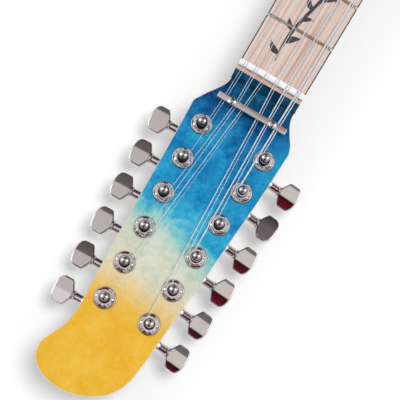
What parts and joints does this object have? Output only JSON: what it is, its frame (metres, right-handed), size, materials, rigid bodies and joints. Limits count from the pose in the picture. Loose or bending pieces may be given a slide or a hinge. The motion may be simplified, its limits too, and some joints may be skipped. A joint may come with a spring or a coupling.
{
  "type": "twelve-string electric guitar",
  "caption": "Electric guitar with paired strings: solid body, bolt-on neck, slotted nut, string bar, and worm-geared chrome tuners on both sides of a stained headstock.",
  "frame": {"origin": "on the flat back of the body, on the centre line, under the line where the strings cross the saddles", "axes": "+Z out of the face, +Y towards the headstock, +X towards the treble side"},
  "size_m": [0.3147, 1.0125, 0.0646],
  "materials": {
    "body_finish": "transparent stain from blue to amber under clear gloss",
    "neck_finish": "stained face, gloss black sides and back",
    "fretboard_wood": "satin pale maple with nickel frets",
    "nut_bone": "smooth white bone",
    "nickel_bar": "brushed nickel",
    "bridge_metal": "satin nickel",
    "pickup_plastic": "black",
    "selector_plastic": "black",
    "chrome_parts": "polished",
    "knob_metal": "polished",
    "tuner_chrome": "polished",
    "string_steel": "plain and wound steel"
  },
  "bodies": {
    "guitar": {"body": "body_finish", "neck": "neck_finish", "fretboard": "fretboard_wood", "nut": "nut_bone", "string_bar": "nickel_bar", "bridge": "bridge_metal", "neck_pickup": "pickup_plastic", "bridge_pickup": "pickup_plastic", "output_jack": "chrome_parts", "string_01": "string_steel", "string_02": "string_steel", "string_03": "string_steel", "string_04": "string_steel", "string_05": "string_steel", "string_06": "string_steel", "string_07": "string_steel", "string_08": "string_steel", "string_09": "string_steel", "string_10": "string_steel", "string_11": "string_steel", "string_12": "string_steel", "tuner_housing_01": "tuner_chrome", "tuner_housing_02": "tuner_chrome", "tuner_housing_03": "tuner_chrome", "tuner_housing_04": "tuner_chrome", "tuner_housing_05": "tuner_chrome", "tuner_housing_06": "tuner_chrome", "tuner_housing_07": "tuner_chrome", "tuner_housing_08": "tuner_chrome", "tuner_housing_09": "tuner_chrome", "tuner_housing_10": "tuner_chrome", "tuner_housing_11": "tuner_chrome", "tuner_housing_12": "tuner_chrome"},
    "key_01": {"tuner_key_01": "tuner_chrome"},
    "post_01": {"tuner_post_01": "tuner_chrome"},
    "key_02": {"tuner_key_02": "tuner_chrome"},
    "post_02": {"tuner_post_02": "tuner_chrome"},
    "key_03": {"tuner_key_03": "tuner_chrome"},
    "post_03": {"tuner_post_03": "tuner_chrome"},
    "key_04": {"tuner_key_04": "tuner_chrome"},
    "post_04": {"tuner_post_04": "tuner_chrome"},
    "key_05": {"tuner_key_05": "tuner_chrome"},
    "post_05": {"tuner_post_05": "tuner_chrome"},
    "key_06": {"tuner_key_06": "tuner_chrome"},
    "post_06": {"tuner_post_06": "tuner_chrome"},
    "key_07": {"tuner_key_07": "tuner_chrome"},
    "post_07": {"tuner_post_07": "tuner_chrome"},
    "key_08": {"tuner_key_08": "tuner_chrome"},
    "post_08": {"tuner_post_08": "tuner_chrome"},
    "key_09": {"tuner_key_09": "tuner_chrome"},
    "post_09": {"tuner_post_09": "tuner_chrome"},
    "key_10": {"tuner_key_10": "tuner_chrome"},
    "post_10": {"tuner_post_10": "tuner_chrome"},
    "key_11": {"tuner_key_11": "tuner_chrome"},
    "post_11": {"tuner_post_11": "tuner_chrome"},
    "key_12": {"tuner_key_12": "tuner_chrome"},
    "post_12": {"tuner_post_12": "tuner_chrome"},
    "volume_knob": {"volume_knob": "knob_metal"},
    "tone_knob": {"tone_knob": "knob_metal"},
    "pickup_selector": {"pickup_selector": "selector_plastic"}
  },
  "joints": [
    {"name": "key_01_turn", "type": "hinge", "parent": "guitar", "child": "key_01", "pos_m": [0.02467, 0.7036, 0.0273], "axis": [0.9994, 0.0335, 0], "continuous": true},
    {"name": "post_01_turn", "type": "hinge", "parent": "guitar", "child": "post_01", "pos_m": [0.02489, 0.6969, 0.045], "axis": [0, 0, 1], "continuous": true},
    {"name": "key_02_turn", "type": "hinge", "parent": "guitar", "child": "key_02", "pos_m": [0.0238, 0.72943, 0.0273], "axis": [0.9994, 0.0335, 0], "continuous": true},
    {"name": "post_02_turn", "type": "hinge", "parent": "guitar", "child": "post_02", "pos_m": [0.02402, 0.72274, 0.045], "axis": [0, 0, 1], "continuous": true},
    {"name": "key_03_turn", "type": "hinge", "parent": "guitar", "child": "key_03", "pos_m": [0.02293, 0.75527, 0.0273], "axis": [0.9994, 0.0335, 0], "continuous": true},
    {"name": "post_03_turn", "type": "hinge", "parent": "guitar", "child": "post_03", "pos_m": [0.02316, 0.74857, 0.045], "axis": [0, 0, 1], "continuous": true},
    {"name": "key_04_turn", "type": "hinge", "parent": "guitar", "child": "key_04", "pos_m": [0.02207, 0.7811, 0.0273], "axis": [0.9994, 0.0335, 0], "continuous": true},
    {"name": "post_04_turn", "type": "hinge", "parent": "guitar", "child": "post_04", "pos_m": [0.02229, 0.77441, 0.045], "axis": [0, 0, 1], "continuous": true},
    {"name": "key_05_turn", "type": "hinge", "parent": "guitar", "child": "key_05", "pos_m": [0.0212, 0.80694, 0.0273], "axis": [0.9994, 0.0335, 0], "continuous": true},
    {"name": "post_05_turn", "type": "hinge", "parent": "guitar", "child": "post_05", "pos_m": [0.02143, 0.80024, 0.045], "axis": [0, 0, 1], "continuous": true},
    {"name": "key_06_turn", "type": "hinge", "parent": "guitar", "child": "key_06", "pos_m": [0.02033, 0.83277, 0.0273], "axis": [0.9994, 0.0335, 0], "continuous": true},
    {"name": "post_06_turn", "type": "hinge", "parent": "guitar", "child": "post_06", "pos_m": [0.02056, 0.82608, 0.045], "axis": [0, 0, 1], "continuous": true},
    {"name": "key_07_turn", "type": "hinge", "parent": "guitar", "child": "key_07", "pos_m": [-0.01154, 0.83284, 0.0273], "axis": [-0.9969, 0.0788, 0], "continuous": true},
    {"name": "post_07_turn", "type": "hinge", "parent": "guitar", "child": "post_07", "pos_m": [-0.01206, 0.82616, 0.045], "axis": [0, 0, 1], "continuous": true},
    {"name": "key_08_turn", "type": "hinge", "parent": "guitar", "child": "key_08", "pos_m": [-0.01357, 0.80707, 0.0273], "axis": [-0.9969, 0.0788, 0], "continuous": true},
    {"name": "post_08_turn", "type": "hinge", "parent": "guitar", "child": "post_08", "pos_m": [-0.0141, 0.80039, 0.045], "axis": [0, 0, 1], "continuous": true},
    {"name": "key_09_turn", "type": "hinge", "parent": "guitar", "child": "key_09", "pos_m": [-0.01561, 0.7813, 0.0273], "axis": [-0.9969, 0.0788, 0], "continuous": true},
    {"name": "post_09_turn", "type": "hinge", "parent": "guitar", "child": "post_09", "pos_m": [-0.01614, 0.77462, 0.045], "axis": [0, 0, 1], "continuous": true},
    {"name": "key_10_turn", "type": "hinge", "parent": "guitar", "child": "key_10", "pos_m": [-0.01765, 0.75553, 0.0273], "axis": [-0.9969, 0.0788, 0], "continuous": true},
    {"name": "post_10_turn", "type": "hinge", "parent": "guitar", "child": "post_10", "pos_m": [-0.01818, 0.74885, 0.045], "axis": [0, 0, 1], "continuous": true},
    {"name": "key_11_turn", "type": "hinge", "parent": "guitar", "child": "key_11", "pos_m": [-0.01969, 0.72976, 0.0273], "axis": [-0.9969, 0.0788, 0], "continuous": true},
    {"name": "post_11_turn", "type": "hinge", "parent": "guitar", "child": "post_11", "pos_m": [-0.02021, 0.72308, 0.045], "axis": [0, 0, 1], "continuous": true},
    {"name": "key_12_turn", "type": "hinge", "parent": "guitar", "child": "key_12", "pos_m": [-0.02172, 0.70399, 0.0273], "axis": [-0.9969, 0.0788, 0], "continuous": true},
    {"name": "post_12_turn", "type": "hinge", "parent": "guitar", "child": "post_12", "pos_m": [-0.02225, 0.69731, 0.045], "axis": [0, 0, 1], "continuous": true},
    {"name": "volume_knob_turn", "type": "hinge", "parent": "guitar", "child": "volume_knob", "pos_m": [0.084, -0.006, 0.045], "axis": [0, 0, 1], "range_deg": [-150, 150]},
    {"name": "tone_knob_turn", "type": "hinge", "parent": "guitar", "child": "tone_knob", "pos_m": [0.104, -0.044, 0.045], "axis": [0, 0, 1], "range_deg": [-150, 150]},
    {"name": "pickup_selector_swing", "type": "hinge", "parent": "guitar", "child": "pickup_selector", "pos_m": [0.092, 0.042, 0.036], "axis": [1, 0, 0], "range_deg": [-20, 20]}
  ],
  "couplings": [
    {"joint": "post_01_turn", "follows": "key_01_turn", "ratio": 0.071429},
    {"joint": "post_02_turn", "follows": "key_02_turn", "ratio": 0.071429},
    {"joint": "post_03_turn", "follows": "key_03_turn", "ratio": 0.071429},
    {"joint": "post_04_turn", "follows": "key_04_turn", "ratio": 0.071429},
    {"joint": "post_05_turn", "follows": "key_05_turn", "ratio": 0.071429},
    {"joint": "post_06_turn", "follows": "key_06_turn", "ratio": 0.071429},
    {"joint": "post_07_turn", "follows": "key_07_turn", "ratio": 0.071429},
    {"joint": "post_08_turn", "follows": "key_08_turn", "ratio": 0.071429},
    {"joint": "post_09_turn", "follows": "key_09_turn", "ratio": 0.071429},
    {"joint": "post_10_turn", "follows": "key_10_turn", "ratio": 0.071429},
    {"joint": "post_11_turn", "follows": "key_11_turn", "ratio": 0.071429},
    {"joint": "post_12_turn", "follows": "key_12_turn", "ratio": 0.071429}
  ]
}
